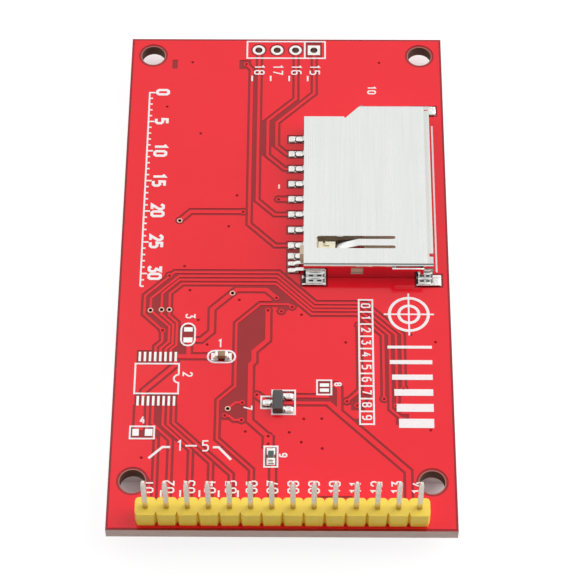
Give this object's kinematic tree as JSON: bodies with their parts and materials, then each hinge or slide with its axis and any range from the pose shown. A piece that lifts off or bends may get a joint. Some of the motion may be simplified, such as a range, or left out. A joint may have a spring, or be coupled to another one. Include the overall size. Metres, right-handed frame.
{
  "type": "tft display module",
  "caption": "Flat colour display on a circuit board, with a memory card socket and a row of header pins on the board's rear.",
  "frame": {"origin": "centre of the board's outline, on the display's front face, which the module lies on", "axes": "+X towards the card socket's mouth, +Y from the pin header towards the card header, +Z out of the board's rear, away from the display"},
  "size_m": [0.0428, 0.0772, 0.013],
  "materials": {
    "laminate": "raw glass-epoxy edge",
    "red_solder_mask": "glossy red solder mask over copper",
    "legend_ink": "matte white ink",
    "tinned_copper": "bright tin on copper",
    "via_tin": "thin tin on copper",
    "solder": "bright solder",
    "shell_steel": "bright tin-plated sheet with a fine grain",
    "header_plastic": "satin yellow moulding",
    "pin_metal": "plated square pin",
    "contact_metal": "plated spring strip",
    "tray_plastic": "cream moulding",
    "regulator_epoxy": "dark moulding",
    "lead_tin": "tinned lead",
    "capacitor_ceramic": "satin ceramic",
    "resistor_ceramic": "white ceramic",
    "resistor_glaze": "dark glaze",
    "frame_plastic": "white moulding",
    "white_film": "white film",
    "clear_acrylic": "clear light guide",
    "polariser_film": "dark satin polariser",
    "display_glass": "dark display glass",
    "ledge_glass": "clear glass ledge",
    "silicon": "polished silicon",
    "polyimide": "amber flexible circuit",
    "foam_tape": "black foam tape",
    "led_package": "white package with a yellow window"
  },
  "bodies": {
    "root": {"circuit_board": "laminate", "rear_copper": "red_solder_mask", "front_copper": "red_solder_mask", "rear_legend": "legend_ink", "front_legend": "legend_ink", "bare_pads": "tinned_copper", "header_barrels": "tinned_copper", "card_header_barrels": "tinned_copper", "via_barrels": "via_tin", "header_solder": "solder", "socket_solder": "solder", "component_solder": "solder", "socket_shell": "shell_steel", "side_leaf": "shell_steel", "header_block": "header_plastic", "header_pin_1": "pin_metal", "header_pin_2": "pin_metal", "header_pin_3": "pin_metal", "header_pin_4": "pin_metal", "header_pin_5": "pin_metal", "header_pin_6": "pin_metal", "header_pin_7": "pin_metal", "header_pin_8": "pin_metal", "header_pin_9": "pin_metal", "header_pin_10": "pin_metal", "header_pin_11": "pin_metal", "header_pin_12": "pin_metal", "header_pin_13": "pin_metal", "header_pin_14": "pin_metal", "detect_terminal": "contact_metal", "protect_terminal": "contact_metal", "card_contact_1": "contact_metal", "card_contact_2": "contact_metal", "card_contact_3": "contact_metal", "card_contact_4": "contact_metal", "card_contact_5": "contact_metal", "card_contact_6": "contact_metal", "card_contact_7": "contact_metal", "card_contact_8": "contact_metal", "card_contact_9": "contact_metal", "socket_tray": "tray_plastic", "regulator_body": "regulator_epoxy", "regulator_leads": "lead_tin", "capacitor_ends": "lead_tin", "resistor_ends": "lead_tin", "capacitor_body": "capacitor_ceramic", "resistor_body": "resistor_ceramic", "resistor_coat": "resistor_glaze", "display_frame": "frame_plastic", "reflector_sheet": "white_film", "diffuser_film": "white_film", "light_guide": "clear_acrylic", "rear_polariser": "polariser_film", "front_polariser": "polariser_film", "front_glass": "display_glass", "rear_glass": "ledge_glass", "driver_chip": "silicon", "display_flex": "polyimide", "mounting_tape": "foam_tape", "backlight_leds": "led_package"}
  },
  "joints": []
}
